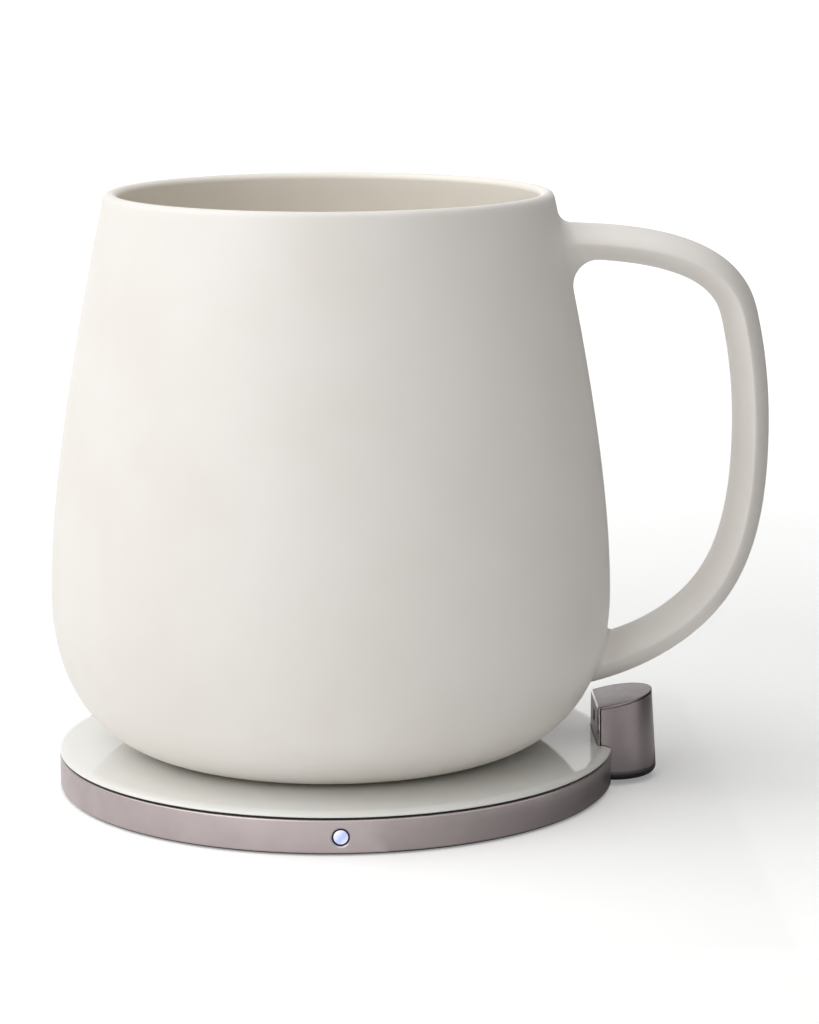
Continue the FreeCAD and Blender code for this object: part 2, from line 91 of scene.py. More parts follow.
class MugProperties(bpy.types.PropertyGroup):
    """Sizes and colours of the mug."""

    belly: length("Belly radius", "Largest radius of the mug", BELLY_MM)
    belly_height: length("Belly height", "Height of the largest radius", 34.1)
    rim: length("Rim radius", "Outer radius under the lip", 39.05)
    foot: length("Foot radius", "Radius where the mug leaves the plate", 29.0)
    wall: length("Wall", "Thickness of the wall at the belly", 3.3)
    lip: length("Lip", "Radius of the rounded lip", 1.25)
    floor: length("Floor", "Thickness of the floor over the foot", 6.6)
    handle_breadth: length("Handle breadth", "Width of the handle across its plane", 13.0)
    handle_thickness: length("Handle thickness", "Thickness of the handle along most of its length", 6.35)
    handle_growth: length("Handle growth", "Thickness that the handle gains at its lower root", 2.6)
    upper_blend: length("Upper blend", "Radius of the blend at the handle's upper root", 3.6)
    lower_blend: length("Lower blend", "Radius of the blend at the handle's lower root", 1.2)
    glaze: paint("Glaze", "Warm white of the glaze, as sRGB hex", "#F1EDE8")
    glaze_deep: paint("Glaze, thick", "Tone where the glaze lies thicker, as sRGB hex", "#EAE4DC")
    # Painted light: the inside's glaze is a lighter white than the outside's, standing for light inside the
    # mug.
    glaze_inside_lit: paint("Glaze, inside", "Lighter warm white of the poured inside, as sRGB hex", "#FCF7EE")
    bare_clay: paint("Bare clay", "Unglazed ring under the foot, as sRGB hex", "#CDBFAE")


class PadProperties(bpy.types.PropertyGroup):
    """Sizes and colours of the warming pad and its sensor block."""

    radius: length("Radius", "Outer radius of the plate and the ring", PLATE_MM)
    edge_width: length("Edge width", "Width of the plate's rounded border", 2.0)
    edge_height: length("Edge height", "Height of the plate's rounded border", 0.6)
    chamfer: length("Chamfer", "Width of the ring's polished edges", 0.3)
    block_corner: length("Block corner", "Radius of the corners beside the block's flat", 0.5)
    groove: length("Groove", "Width of the shadow line round the block's curved side", 0.3)
    # Painted highlight: brighter, smoother metal on the rounds beside the block's flat that face the key
    # light.
    bevel: paint("Bevel", "Bright metal of the block's polished bevels, as sRGB hex", "#E2DEDC")
    plate: paint("Plate", "White of the plate, as sRGB hex", "#F0F0EC")
    metal: paint("Ring metal", "Taupe of the anodised ring, as sRGB hex", "#AEA4A4")
    # Painted shade: the block's metal is the ring's taupe made darker, standing for the shade from the mug
    # that lies on it.
    block_metal: paint("Block metal", "Darker taupe of the sensor block, as sRGB hex", "#8B8283")
    # Painted shade: the cap is the block's anodised metal made darker, standing for shade at the block's
    # foot.
    cap_metal: paint("Cap metal", "Dark grey of the block's bottom cap, as sRGB hex", "#6E6B6D")
    lamp: paint("Lamp", "Light of the lit indicator lamp, as sRGB hex", "#B4BEEC")


class StageProperties(bpy.types.PropertyGroup):
    """Camera and light."""

    lens: bpy.props.FloatProperty(name="Lens", description="Focal length of the camera",
                                  default=115.46, unit="CAMERA", subtype="DISTANCE_CAMERA")
    key_power: bpy.props.FloatProperty(name="Key light", default=4.2, unit="POWER",
                                       description="Power of the high softbox on the left")
    fill: bpy.props.FloatProperty(name="Fill", default=0.15, subtype="FACTOR",
                                  description="Light that the white room gives, as a share of plain white")
    floor_lift: bpy.props.FloatProperty(name="Floor lift", default=0.25, subtype="FACTOR",
                                        description="Light that the floor adds where it is seen")


def linear(code):
    """An sRGB hex colour as linear RGBA."""
    parts = [int(code[i:i + 2], 16) / 255 for i in (1, 3, 5)]
    return [c / 12.92 if c <= 0.04045 else ((c + 0.055) / 1.055) ** 2.4 for c in parts] + [1.0]


def add(tree, kind, inputs=None, **settings):
    """Add a node with its settings. An input that is given a socket is linked, any other is set."""
    made = tree.nodes.new("ShaderNode" + kind)
    for name, value in settings.items():
        setattr(made, name, value)
    for name, value in (inputs or {}).items():
        if isinstance(value, bpy.types.NodeSocket):
            tree.links.new(value, made.inputs[name])
        else:
            made.inputs[name].default_value = value
    return made


def begin(name, **shader):
    """A new material with its shader's constants set: the material, its tree, its shader and a place."""
    material = bpy.data.materials.new(name)
    material.use_nodes = True
    tree = material.node_tree
    surface = tree.nodes["Principled BSDF"]
    for socket, value in shader.items():
        surface.inputs[socket.replace("_", " ")].default_value = value
    place = add(tree, "TexCoord").outputs["Object"]
    return material, tree, surface, place


def noise(tree, place, size, detail, roughness=0.5):
    """Soft noise with features of a size in millimetres."""
    made = add(tree, "TexNoise", {"Vector": place, "Scale": 1 / (size * MM), "Detail": detail,
                                  "Roughness": roughness})
    return made.outputs["Fac"]


def span(tree, value, low, high, start=0.0, end=1.0):
    """A value led from one span to another, and held at its ends."""
    made = add(tree, "MapRange", {"Value": value, "From Min": low, "From Max": high,
                                  "To Min": start, "To Max": end})
    return made.outputs["Result"]


def mix(tree, share, one, other):
    """A colour between two."""
    return add(tree, "Mix", {"Factor": share, "A": one, "B": other}, data_type="RGBA").outputs["Result"]


def maths(tree, operation, one, other=0.0):
    """The result of an operation on one or two values."""
    return add(tree, "Math", {0: one, 1: other}, operation=operation).outputs["Value"]


def mottle(tree, surface, place, size, light, dark, share=1.0):
    """Colour that drifts softly between two tones in patches of a size in millimetres."""
    drift = span(tree, noise(tree, place, size, 3.0), 0.35, 0.65, 0.0, share)
    colour = mix(tree, drift, linear(light), linear(dark))
    tree.links.new(colour, surface.inputs["Base Color"])
    return colour


def wear(tree, surface, place, size, low, high):
    """Roughness that drifts between two values in patches of a size in millimetres."""
    drift = span(tree, noise(tree, place, size, 5.0, 0.6), 0.3, 0.7, low, high)
    tree.links.new(drift, surface.inputs["Roughness"])


def grain(tree, surface, place, size, depth):
    """Fine relief of a grain size and a depth in millimetres."""
    bump = add(tree, "Bump", {"Height": noise(tree, place, size, 2.0), "Distance": depth * MM,
                              "Strength": 1.0})
    tree.links.new(bump.outputs["Normal"], surface.inputs["Normal"])


def glaze(name, light, dark):
    """Matte glaze on stoneware: soft broad highlights and faint cloudiness."""
    material, tree, surface, place = begin(name, IOR=1.5, Coat_Weight=0.12, Coat_Roughness=0.32)
    clouds = mottle(tree, surface, place, 22, light, dark, 0.5)
    wear(tree, surface, place, 9, 0.46, 0.58)
    grain(tree, surface, place, 0.7, 0.006)
    return material, tree, surface, place, clouds


def inside_glaze_lit(mug):
    """Painted light: the glaze inside the mug, made lighter than the outside's to stand for light that
    reaches into it, and as matte.
    """
    return glaze("inside_glaze_lit", mug.glaze_inside_lit, "#F8F2E8")[0]


def matte_glaze(mug):
    """The dipped glaze of the outside, which ends above a ring of bare clay at the foot."""
    material, tree, surface, place, clouds = glaze("matte_glaze", mug.glaze, mug.glaze_deep)
    height = add(tree, "SeparateXYZ", {"Vector": place}).outputs["Z"]
    foot_top = (mug_low.z + 0.35) * MM
    bare = span(tree, height, foot_top, foot_top + 0.25 * MM, 1.0, 0.0)
    tree.links.new(mix(tree, bare, clouds, linear(mug.bare_clay)), surface.inputs["Base Color"])
    return material


def polished_white(pad):
    """White polycarbonate with a polished face: sharp mirror images over a clean, slightly cool white."""
    material, tree, surface, place = begin("polished_white", IOR=1.55, Specular_IOR_Level=0.5)
    mottle(tree, surface, place, 30, pad.plate, "#EAEAE4", 0.4)
    wear(tree, surface, place, 14, 0.035, 0.075)
    return material


def anodised(name, light, dark):
    """Bead-blasted, anodised aluminium: a satin metal with a very fine even sparkle."""
    material, tree, surface, place = begin(name, Metallic=1.0)
    mottle(tree, surface, place, 6, light, dark, 0.6)
    wear(tree, surface, place, 3, 0.34, 0.42)
    grain(tree, surface, place, 0.12, 0.004)
    return material


def moulded(name, light, dark, rough, size, depth):
    """Injection-moulded plastic or rubber: fine spark-eroded texture, soft broad sheen."""
    material, tree, surface, place = begin(name, IOR=1.5)
    mottle(tree, surface, place, 5, light, dark)
    wear(tree, surface, place, 2.5, rough - 0.05, rough + 0.08)
    grain(tree, surface, place, size, depth)
    return material


def plain_metal(name, light, dark, rough):
    """Turned, drawn or plated metal: a trace of tarnish, tight highlights."""
    material, tree, surface, place = begin(name, Metallic=1.0)
    mottle(tree, surface, place, 1.5, light, dark)
    wear(tree, surface, place, 0.8, rough - 0.05, rough + 0.08)
    grain(tree, surface, place, 0.15, 0.002)
    return material


def lit_lens(pad):
    """Milky light pipe lit from behind: a pale blue glow across its middle, and a white glow towards its
    upper left and lower right that is painted highlight on the dome.
    """
    material, tree, surface, place = begin("lit_lens", IOR=1.49, Roughness=0.12, Emission_Strength=0.8)
    parts = add(tree, "SeparateXYZ", {"Vector": place}).outputs
    across = span(tree, parts["X"], -LENS_MM * MM, LENS_MM * MM)
    up = span(tree, parts["Z"], (LAMP_Z_MM - LENS_MM) * MM, (LAMP_Z_MM + LENS_MM) * MM)
    # Painted highlight: the glow turns white towards the lens's upper left and lower right.
    from_middle = maths(tree, "ADD", maths(tree, "SUBTRACT", up, across), 0.1)
    share = span(tree, maths(tree, "ABSOLUTE", from_middle), 0.1, 0.6)
    tree.links.new(mix(tree, share, linear(pad.lamp), linear("#F4F3FF")), surface.inputs["Emission Color"])
    mottle(tree, surface, place, 0.6, "#7C84A6", "#8C94B4")
    return material


def make_mesh(name, points_mm, faces):
    """A mesh object from points in millimetres."""
    mesh = bpy.data.meshes.new(name)
    mesh.from_pydata([[c * MM for c in p] for p in points_mm], [], faces)
    made = bpy.data.objects.new(name, mesh)
    bpy.context.scene.collection.objects.link(made)
    return made


def smooth(piece, angle=32):
    """Face the mesh outward and shade it smooth, with edges sharper than an angle kept."""
    shape = bmesh.new()
    shape.from_mesh(piece.data)
    loose = [v for v in shape.verts if not v.link_faces]
    bmesh.ops.delete(shape, geom=loose, context="VERTS")
    bmesh.ops.recalc_face_normals(shape, faces=shape.faces)
    for face in shape.faces:
        face.smooth = True
    shape.to_mesh(piece.data)
    shape.free()
    piece.data.set_sharp_from_angle(angle=math.radians(angle))


def place_piece(piece, body, slot, material, *nodes):
    """Give a piece its material and body, and let it stand for CAD nodes."""
    piece.data.materials.clear()
    piece.data.materials.append(material)
    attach(piece, body)
    if nodes:
        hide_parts(*nodes)


def finish_faces(piece, material, chosen):
    """Give a second material to the faces that a test on their middle and normal, in millimetres, picks."""
    piece.data.materials.append(material)
    for face in piece.data.polygons:
        if chosen(face.center / MM, face.normal):
            face.material_index = 1


def dress(node, material):
    """Assign a material to a CAD node."""
    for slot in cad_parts[node].material_slots:
        slot.material = material


def cut(piece, cutter):
    """Cut one mesh out of another."""
    modifier = piece.modifiers.new("cut", "BOOLEAN")
    modifier.operation = "DIFFERENCE"
    modifier.solver = "EXACT"
    modifier.object = cutter
    bpy.context.view_layer.update()
    result = bpy.data.meshes.new_from_object(piece.evaluated_get(bpy.context.evaluated_depsgraph_get()))
    piece.modifiers.clear()
    piece.data = result
    bpy.data.objects.remove(cutter)


def lathe(name, outline, segments=384):
    """Turn a closed outline of (radius, height) points about the Z axis. Points on the axis are shared."""
    turns = [2 * math.pi * k / segments for k in range(segments)]
    points = []
    rings = []
    for radius, height in outline:
        if radius < 1e-9:
            rings.append([len(points)] * segments)
            points.append((0, 0, height))
            continue
        rings.append(list(range(len(points), len(points) + segments)))
        points += [(radius * math.cos(a), radius * math.sin(a), height) for a in turns]
    faces = []
    for low, high in zip(rings, rings[1:] + rings[:1]):
        for k in range(segments):
            corner = [low[k], low[(k + 1) % segments], high[(k + 1) % segments], high[k]]
            kept = [c for i, c in enumerate(corner) if c != corner[i - 1]]
            if len(kept) > 2:
                faces.append(kept)
    return make_mesh(name, points, faces)


def bezier(poles, steps):
    """Points along a cubic curve from four poles, without its last point."""
    t = np.linspace(0, 1, steps, endpoint=False)[:, None]
    a, b, c, d = (np.array(pole, float) for pole in poles)
    return a * (1 - t) ** 3 + 3 * b * t * (1 - t) ** 2 + 3 * c * t * t * (1 - t) + d * t ** 3


def quarter(start, corner, end, steps):
    """Points of a quarter round that starts and ends on the sides of a corner, without its last point."""
    start, corner, end = (np.array(p, float) for p in (start, corner, end))
    bend = 0.5523
    return bezier((start, start + bend * (corner - start), end + bend * (corner - end), end), steps)


# Poles of the mug's curves: how far they lie up from the belly, down from the rim and out from the foot,
# and down from the belly as a share of the rise from the foot. LEAN is the wall's slope at the rim.
SHOULDER_MM = 16.5
NECK_MM = 30.3
LEAN = 0.22
HAUNCH_MM = 10.1
HAUNCH_SHARE = 0.665

# Radius of the flat floor inside, then radius, height and edge round of the recess under the foot.
FLOOR_FLAT_MM = 25.0
RECESS_MM = 24.0
RECESS_HEIGHT_MM = 1.7
FOOT_ROUND_MM = 0.4

# Grid of the mug's wall: columns round it, rows in its stretches, and the patch that each handle root
# takes out of it. A root has a height, and half the length along the wall that its patch covers.
COLUMNS = 192
FOOT_ROWS = 16
WALL_ROWS = 44
RIM_ROWS = 3
PATCH_COLUMNS = 9
PATCH_ROWS = 7
LOWER_ROOT_MM, LOWER_HALF_MM = 22.2, 8.8
UPPER_ROOT_MM, UPPER_HALF_MM = 95.7, 6.6

# The handle's centre line as (out, up) from the mug's axis, with its ends inside the wall. The powers
# give the ridge of its section and how late it thickens. The upper root's blend is wider on its underside.
HANDLE_PATH_MM = ((38.9, 95.9), (43.0, 95.8), (70.9, 84.9), (71.8, 81.7), (73.75, 59.0),
                  (67.1, 34.0), (44.8, 21.1), (37.9, 20.2))
RIDGE_POWER = 1.45
GROWTH_POWER = 6
UPPER_BLEND_LEAN = 0.25


class MugForm:
    """The mug's outlines and handle, worked out from its sizes, in millimetres from the mug's axis."""

    def __init__(self, mug):
        self.belly = mug.belly / MM
        self.belly_z = mug.belly_height / MM
        self.rim = mug.rim / MM
        self.foot = mug.foot / MM
        self.wall = mug.wall / MM
        self.lip = mug.lip / MM
        self.low = mug_low.z
        self.high = mug_high.z
        self.floor = self.low + mug.floor / MM
        self.crest = self.rim - self.lip
        self.lip_z = self.high - self.lip
        self.breadth = mug.handle_breadth / MM
        self.thickness = mug.handle_thickness / MM
        self.growth = mug.handle_growth / MM
        self.upper_blend = mug.upper_blend / MM
        self.lower_blend = mug.lower_blend / MM
        self.outside = self.outer_wall(3000)
        steps = np.hypot(*np.diff(self.outside, axis=0).T)
        self.along = np.concatenate([[0], np.cumsum(steps)])
        self.make_path()

    def outer_wall(self, steps):
        """The outside from the foot's edge to the rim, under the lip."""
        rise = self.belly_z - self.low
        lower = bezier(((self.foot, self.low), (self.foot + HAUNCH_MM, self.low),
                        (self.belly, self.belly_z - HAUNCH_SHARE * rise),
                        (self.belly, self.belly_z)), steps)
        upper = bezier(((self.belly, self.belly_z), (self.belly, self.belly_z + SHOULDER_MM),
                        (self.rim + LEAN * NECK_MM, self.lip_z - NECK_MM), (self.rim, self.lip_z)), steps)
        return np.vstack([lower, upper, [[self.rim, self.lip_z]]])

    def closing(self):
        """The rest of the outline: over the lip, down the inside, across the floor and under the foot."""
        bend = 0.5523 * self.lip
        lip = self.crest - self.lip
        belly = self.belly - self.wall
        recess_z = self.low + RECESS_HEIGHT_MM
        return np.vstack([
            bezier(((self.rim, self.lip_z), (self.rim - LEAN * bend, self.lip_z + bend),
                    (self.crest + bend, self.high), (self.crest, self.high)), 8)[1:],
            bezier(((self.crest, self.high), (self.crest - bend, self.high),
                    (lip - LEAN * bend, self.lip_z + bend), (lip, self.lip_z)), 8),
            bezier(((lip, self.lip_z), (lip + LEAN * NECK_MM, self.lip_z - NECK_MM),
                    (belly, self.belly_z + SHOULDER_MM), (belly, self.belly_z)), 48),
            bezier(((belly, self.belly_z), (belly, self.floor + 4 * self.lip),
                    (FLOOR_FLAT_MM + HAUNCH_MM, self.floor), (FLOOR_FLAT_MM, self.floor)), 36),
            [(r, self.floor) for r in (FLOOR_FLAT_MM, 16, 8, 0)],
            [(r, recess_z) for r in (0, 12, RECESS_MM - FOOT_ROUND_MM)],
            [(RECESS_MM, recess_z), (RECESS_MM, self.low + FOOT_ROUND_MM)],
            quarter((RECESS_MM, self.low + FOOT_ROUND_MM), (RECESS_MM, self.low),
                    (RECESS_MM + FOOT_ROUND_MM, self.low), 4)[1:],
            [(RECESS_MM + FOOT_ROUND_MM, self.low)],
        ])

    def at(self, along):
        """(radius, height) on the outside at a distance from the foot's edge."""
        return np.stack([np.interp(along, self.along, self.outside[:, k]) for k in (0, 1)], axis=-1)

    def reach(self, height):
        """Distance along the outside at a height."""
        return np.interp(height, self.outside[:, 1], self.along)

    def on_wall(self, turn, along):
        """Points on the outside at an angle about the axis and a distance from the foot's edge."""
        r, z = np.moveaxis(self.at(along), -1, 0)
        return np.stack([r * np.cos(turn), r * np.sin(turn), z], axis=-1)

    def make_path(self):
        """A natural cubic spline through the handle's points, over the length of its chords."""
        points = np.array(HANDLE_PATH_MM)
        knots = np.concatenate([[0], np.cumsum(np.hypot(*np.diff(points, axis=0).T))])
        gaps = np.diff(knots)
        n = len(points)
        matrix = np.eye(n)
        right = np.zeros((n, 2))
        for i in range(1, n - 1):
            matrix[i, i - 1:i + 2] = gaps[i - 1], 2 * (gaps[i - 1] + gaps[i]), gaps[i]
            slopes = np.diff(points[i - 1:i + 2], axis=0) / gaps[i - 1:i + 1, None]
            right[i] = 6 * (slopes[1] - slopes[0])
        bends = np.linalg.solve(matrix, right)
        at = np.linspace(0, knots[-1], 4001)
        i = np.clip(np.searchsorted(knots, at, side="right") - 1, 0, n - 2)
        a = ((knots[i + 1] - at) / gaps[i])[:, None]
        b = 1 - a
        curve = (a * points[i] + b * points[i + 1]
                 + ((a ** 3 - a) * bends[i] + (b ** 3 - b) * bends[i + 1]) * gaps[i][:, None] ** 2 / 6)
        self.path = curve
        self.path_along = np.concatenate([[0], np.cumsum(np.hypot(*np.diff(curve, axis=0).T))])
        self.path_way = np.gradient(curve, self.path_along, axis=0)

    def on_handle(self, along, phase):
        """Points on the handle's surface: distance along the path, and angle round the lens section."""
        along, phase = np.broadcast_arrays(along, phase)
        x, z = (np.interp(along, self.path_along, self.path[:, k]) for k in (0, 1))
        dx, dz = (np.interp(along, self.path_along, self.path_way[:, k]) for k in (0, 1))
        size = np.hypot(dx, dz)
        share = along / self.path_along[-1]
        half = (self.thickness + self.growth * share ** GROWTH_POWER) / 2
        out = half * np.sign(np.sin(phase)) * np.abs(np.sin(phase)) ** RIDGE_POWER
        side = self.breadth / 2 * np.cos(phase)
        return np.stack([x + dz / size * out, side, z - dx / size * out], axis=-1)

    def crossing(self, phase, upper):
        """Distance along the path at which the handle's surface passes through the wall, for each angle."""
        end = self.path_along[-1]
        along = np.linspace(0, 0.25 * end, 1200)
        if not upper:
            along = end - along
        points = self.on_handle(along[:, None], phase[None, :])
        wall = np.interp(points[..., 2], self.outside[:, 1], self.outside[:, 0])
        free = np.hypot(points[..., 0], points[..., 1]) - wall
        first = np.argmax(free > 0, axis=0)
        ks = np.arange(len(phase))
        f0, f1 = free[first - 1, ks], free[first, ks]
        share = -f0 / (f1 - f0)
        return along[first - 1] + (along[first] - along[first - 1]) * share


def patch_loop():
    """(column, row) steps round a handle root's patch, from its +column side towards its +row side."""
    w, h = PATCH_COLUMNS, PATCH_ROWS
    loop = [(w, v) for v in range(0, h + 1)]
    loop += [(u, h) for u in range(w - 1, -w - 1, -1)]
    loop += [(-w, v) for v in range(h - 1, -h - 1, -1)]
    loop += [(u, -h) for u in range(-w + 1, w + 1)]
    loop += [(w, v) for v in range(-h + 1, 0)]
    return loop


class Grid:
    """Points and faces that grow ring by ring."""

    def __init__(self):
        self.points = []
        self.faces = []

    def ring(self, points):
        start = len(self.points)
        self.points += [tuple(p) for p in points]
        return list(range(start, start + len(points)))

    def band(self, one, other):
        count = len(one)
        for k in range(count):
            self.faces.append([one[k], one[(k + 1) % count], other[(k + 1) % count], other[k]])

    def fan(self, ring, point):
        centre = self.ring([point])[0]
        count = len(ring)
        for k in range(count):
            self.faces.append([ring[k], ring[(k + 1) % count], centre])


def handle_root(form, grid, loop, turns, alongs, upper):
    """Lead the wall's surface from a patch's border into the handle. Returns the ring and where it lies."""
    steps = np.array(patch_loop(), float)
    phase = np.arctan2(steps[:, 1] / PATCH_ROWS, steps[:, 0] / PATCH_COLUMNS)
    side = -1 if upper else 1
    start = form.crossing(phase, upper)
    met = form.on_handle(start, phase)
    turn = np.arctan2(met[:, 1], met[:, 0])
    reach = form.reach(met[:, 2])
    radius = np.hypot(met[:, 0], met[:, 1])
    half = form.thickness / 2
    away = np.stack([np.cos(phase) / (form.breadth / 2), np.sin(phase) / half], axis=-1)
    away /= np.linalg.norm(away, axis=1)[:, None]
    step = 0.01
    round_way = np.stack([-np.sin(turn), np.cos(turn), np.zeros_like(turn)], axis=-1)
    up_way = (form.on_wall(turn, reach + step) - form.on_wall(turn, reach - step)) / (2 * step)
    wall_way = round_way * away[:, :1] + up_way * (side * away[:, 1:])
    wall_way /= np.linalg.norm(wall_way, axis=1)[:, None]
    outward = 1 if upper else -1
    handle_way = (form.on_handle(start + outward * step, phase) - met) / step
    handle_way /= np.linalg.norm(handle_way, axis=1)[:, None]
    angle = np.arccos(np.clip((wall_way * handle_way).sum(axis=1), -1, 1))
    blend = form.upper_blend * (1 + UPPER_BLEND_LEAN * np.sin(phase)) if upper else form.lower_blend
    width = np.clip(blend / np.tan(angle / 2), 0.3, 1.7 * blend)
    wall_turn = turn + width * away[:, 0] / radius
    wall_reach = reach + width * side * away[:, 1]
    ring = loop
    for share in (0.33, 0.67, 1.0):
        now = grid.ring(form.on_wall(turns + (wall_turn - turns) * share,
                                     alongs + (wall_reach - alongs) * share))
        grid.band(ring, now)
        ring = now
    a = form.on_wall(wall_turn, wall_reach)
    along = start + outward * width
    b = form.on_handle(along, phase)
    weight = np.sin(angle / 2)[:, None]
    for t in np.linspace(0, 1, 11)[1:]:
        top = a * (1 - t) ** 2 + met * 2 * weight * t * (1 - t) + b * t ** 2
        now = grid.ring(top / ((1 - t) ** 2 + 2 * weight * t * (1 - t) + t ** 2))
        grid.band(ring, now)
        ring = now
    return ring, along, phase


def mug_mesh(mug):
    """The mug as one closed skin: turned wall, two blended handle roots and the handle between them."""
    form = MugForm(mug)
    root_low, root_high = form.reach(LOWER_ROOT_MM), form.reach(UPPER_ROOT_MM)
    low_start, low_end = root_low - LOWER_HALF_MM, root_low + LOWER_HALF_MM
    high_start, high_end = root_high - UPPER_HALF_MM, root_high + UPPER_HALF_MM
    rows = np.concatenate([
        np.linspace(0, low_start, FOOT_ROWS, endpoint=False),
        np.linspace(low_start, low_end, 2 * PATCH_ROWS, endpoint=False),
        np.linspace(low_end, high_start, WALL_ROWS, endpoint=False),
        np.linspace(high_start, high_end, 2 * PATCH_ROWS, endpoint=False),
        np.linspace(high_end, form.along[-1], RIM_ROWS),
    ])
    low_row = FOOT_ROWS + PATCH_ROWS
    high_row = low_row + PATCH_ROWS + WALL_ROWS + PATCH_ROWS
    turns = 2 * math.pi * np.arange(COLUMNS) / COLUMNS
    grid = Grid()
    rings = [grid.ring(form.on_wall(turns, np.full(COLUMNS, s))) for s in rows]
    for r, (one, other) in enumerate(zip(rings, rings[1:])):
        near = any(-PATCH_ROWS <= r - row < PATCH_ROWS for row in (low_row, high_row))
        for k in range(COLUMNS):
            if near and (k < PATCH_COLUMNS or k >= COLUMNS - PATCH_COLUMNS):
                continue
            grid.faces.append([one[k], one[(k + 1) % COLUMNS], other[(k + 1) % COLUMNS], other[k]])
    last = rings[-1]
    closing = form.closing()
    for i, (radius, height) in enumerate(closing):
        if radius < 1e-9:
            if i + 1 < len(closing) and closing[i + 1][0] < 1e-9:
                grid.fan(last, (0, 0, height))
                last = None
            else:
                top = grid.ring([(0, 0, height)])[0]
            continue
        now = grid.ring(np.stack([radius * np.cos(turns), radius * np.sin(turns),
                                  np.full(COLUMNS, height)], axis=-1))
        if last is None:
            for k in range(COLUMNS):
                grid.faces.append([now[k], now[(k + 1) % COLUMNS], top])
        else:
            grid.band(last, now)
        last = now
    grid.band(last, rings[0])
    ends = []
    for row, upper in ((high_row, True), (low_row, False)):
        side = -1 if upper else 1
        steps = patch_loop()
        loop = [rings[row + side * v][u % COLUMNS] for u, v in steps]
        turn = np.array([2 * math.pi * u / COLUMNS for u, v in steps])
        along = np.array([rows[row + side * v] for u, v in steps])
        ends.append(handle_root(form, grid, loop, turn, along, upper))
    (ring, first, phase), (final, last_along, _) = ends
    stations = 150
    for k in range(1, stations):
        share = k / stations
        now = grid.ring(form.on_handle(first + (last_along - first) * share, phase))
        grid.band(ring, now)
        ring = now
    grid.band(ring, final)
    piece = make_mesh("mug_body", [(x + MUG_X_MM, y, z) for x, y, z in grid.points], grid.faces)
    smooth(piece, 50)
    return piece, form


class MUGWARMER_OT_mug(bpy.types.Operator):
    """Build the mug in one skin with its handle"""

    bl_idname = "mugwarmer.mug"
    bl_label = "Mug"

    def execute(self, context):
        mug = context.scene.warmer_mug
        piece, form = mug_mesh(mug)
        place_piece(piece, CUP, "mug_stoneware", matte_glaze(mug), "mug")

        # Painted light: the faces inside the mug get the lighter inside glaze.
        def inside(middle, normal):
            wall = np.interp(middle.z, form.outside[:, 1], form.outside[:, 0])
            return middle.z > form.floor - 1 and math.hypot(middle.x - MUG_X_MM, middle.y) < wall - form.lip

        finish_faces(piece, inside_glaze_lit(mug), inside)
        return {"FINISHED"}


def prism(name, outline, low, high):
    """A straight prism over an outline of (x, y) points, between two heights."""
    count = len(outline)
    points = [(x, y, z) for z in (low, high) for x, y in outline]
    faces = [list(range(count))[::-1], list(range(count, 2 * count))]
    faces += [[k, (k + 1) % count, count + (k + 1) % count, count + k] for k in range(count)]
    return make_mesh(name, points, faces)


# The sensor block's form in millimetres, and the shadow gap round it.
BLOCK_X_MM = 49.0
BLOCK_RADIUS_MM = 8.17
BLOCK_TAPER = 0.0625
BLOCK_TOP_MM = 13.9
BLOCK_SLOPE = math.tan(math.radians(11.5))
BLOCK_WALL_MM = 1.2
BLOCK_GAP_MM = 0.25
BLOCK_FLAT_MM = housing_low.x - 0.2


def block_cutter(low, high):
    """The room in the pad's edge for the sensor block: a round post cut by a flat, as a prism."""
    radius = BLOCK_RADIUS_MM + BLOCK_GAP_MM
    half = math.pi - math.acos((BLOCK_X_MM - BLOCK_FLAT_MM + 0.1) / radius)
    turns = [-half + 2 * half * k / 96 for k in range(97)]
    outline = [(BLOCK_X_MM + radius * math.cos(a), radius * math.sin(a)) for a in turns]
    return prism("cutter", outline, low, high)


def block_section(place, inset, corner, z):
    """Points of the block's D-shaped section, drawn in by an inset. A place is 0 to 1 along the round
    side, 1 to 2 round a corner, 2 to 3 along the flat and 3 to 4 round the other corner."""
    radius = BLOCK_RADIUS_MM - BLOCK_TAPER * (z - cap_low.z) - inset
    hub_x = BLOCK_FLAT_MM + inset + corner
    hub_y = np.sqrt((radius - corner) ** 2 - (hub_x - BLOCK_X_MM) ** 2)
    reach = np.arctan2(hub_y, hub_x - BLOCK_X_MM)
    stretch = np.floor(place)
    share = place - stretch
    along = [stretch == k for k in range(4)]
    turn = np.select(along, [reach * (2 * share - 1), reach + (math.pi - reach) * share,
                             math.pi + 0 * share, math.pi + (math.pi - reach) * share])
    x = np.where(along[0], BLOCK_X_MM + radius * np.cos(turn), hub_x + corner * np.cos(turn))
    y = np.select(along, [radius * np.sin(turn), hub_y + corner * np.sin(turn), hub_y * (1 - 2 * share),
                          corner * np.sin(turn) - hub_y])
    return x, y


def block_row(place, inset, corner, low, share, drop):
    """Points at a share of the way from a height up to the sloped top, less a drop."""
    z = np.full(len(place), BLOCK_TOP_MM)
    for _ in range(5):
        x, y = block_section(place, inset, corner, z)
        z = low + (BLOCK_TOP_MM + BLOCK_SLOPE * (x - BLOCK_FLAT_MM) - drop - low) * share
    return np.stack([x, y, z], axis=-1)


def block_room():
    """The hollow inside the block's shell."""
    place = np.linspace(0, 4, 160, endpoint=False)
    inner = BLOCK_WALL_MM
    grid = Grid()
    low, high = (grid.ring(block_row(place, inner, 0.3, housing_low.z - 1, share, inner))
                 for share in (0, 1))
    grid.band(low, high)
    grid.faces += [low[::-1], high]
    return make_mesh("room", grid.points, grid.faces)


